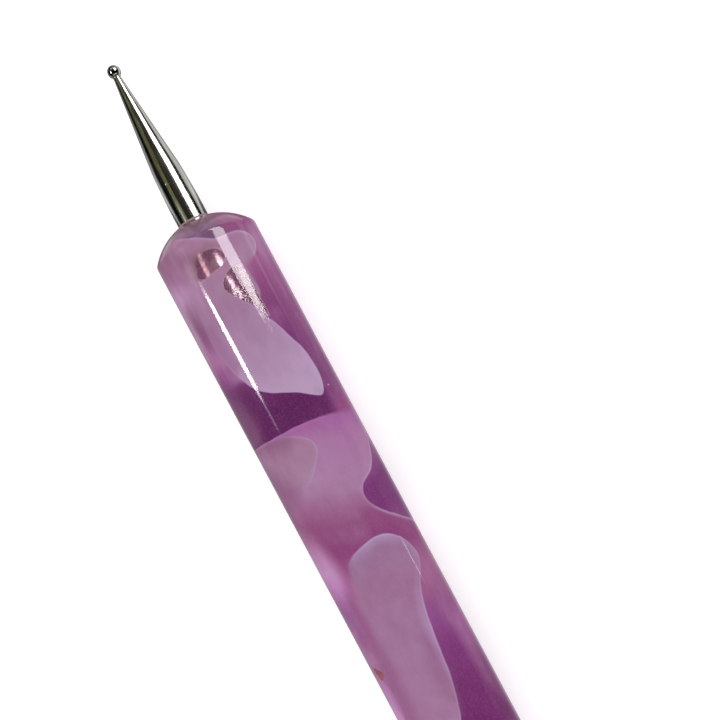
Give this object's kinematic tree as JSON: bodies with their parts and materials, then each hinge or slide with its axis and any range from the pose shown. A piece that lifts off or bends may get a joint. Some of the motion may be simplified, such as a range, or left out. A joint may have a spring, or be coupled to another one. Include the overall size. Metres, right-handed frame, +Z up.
{
  "type": "embossing stylus",
  "caption": "Double-ended ball stylus for embossing: slim marbled resin handle with domed ends, tapered steel pins and a small and a larger ball tip.",
  "frame": {"origin": "on the tool's axis, at the middle of the handle's straight barrel", "axes": "+X along the tool's axis towards the larger ball, +Z up when the tool lies on a surface at Z = -4 mm"},
  "size_m": [0.1288, 0.008, 0.008],
  "materials": {
    "marbled_resin": "cast acrylic resin in plum, magenta and milky lilac swirls, polished, partly see-through",
    "polished_steel": "turned and polished, nickel bright with fine lengthwise marks",
    "ball_steel": "mirror polished ball",
    "braze": "thin bright fillet of silver braze, slightly golden",
    "adhesive": "clear set adhesive against the rough wall of a drilled hole, crinkled and glittery"
  },
  "bodies": {
    "root": {"handle": "marbled_resin", "small_tip_pin": "polished_steel", "large_tip_pin": "polished_steel", "small_ball": "ball_steel", "large_ball": "ball_steel", "small_ball_braze": "braze", "large_ball_braze": "braze", "small_tip_adhesive": "adhesive", "large_tip_adhesive": "adhesive"}
  },
  "joints": []
}
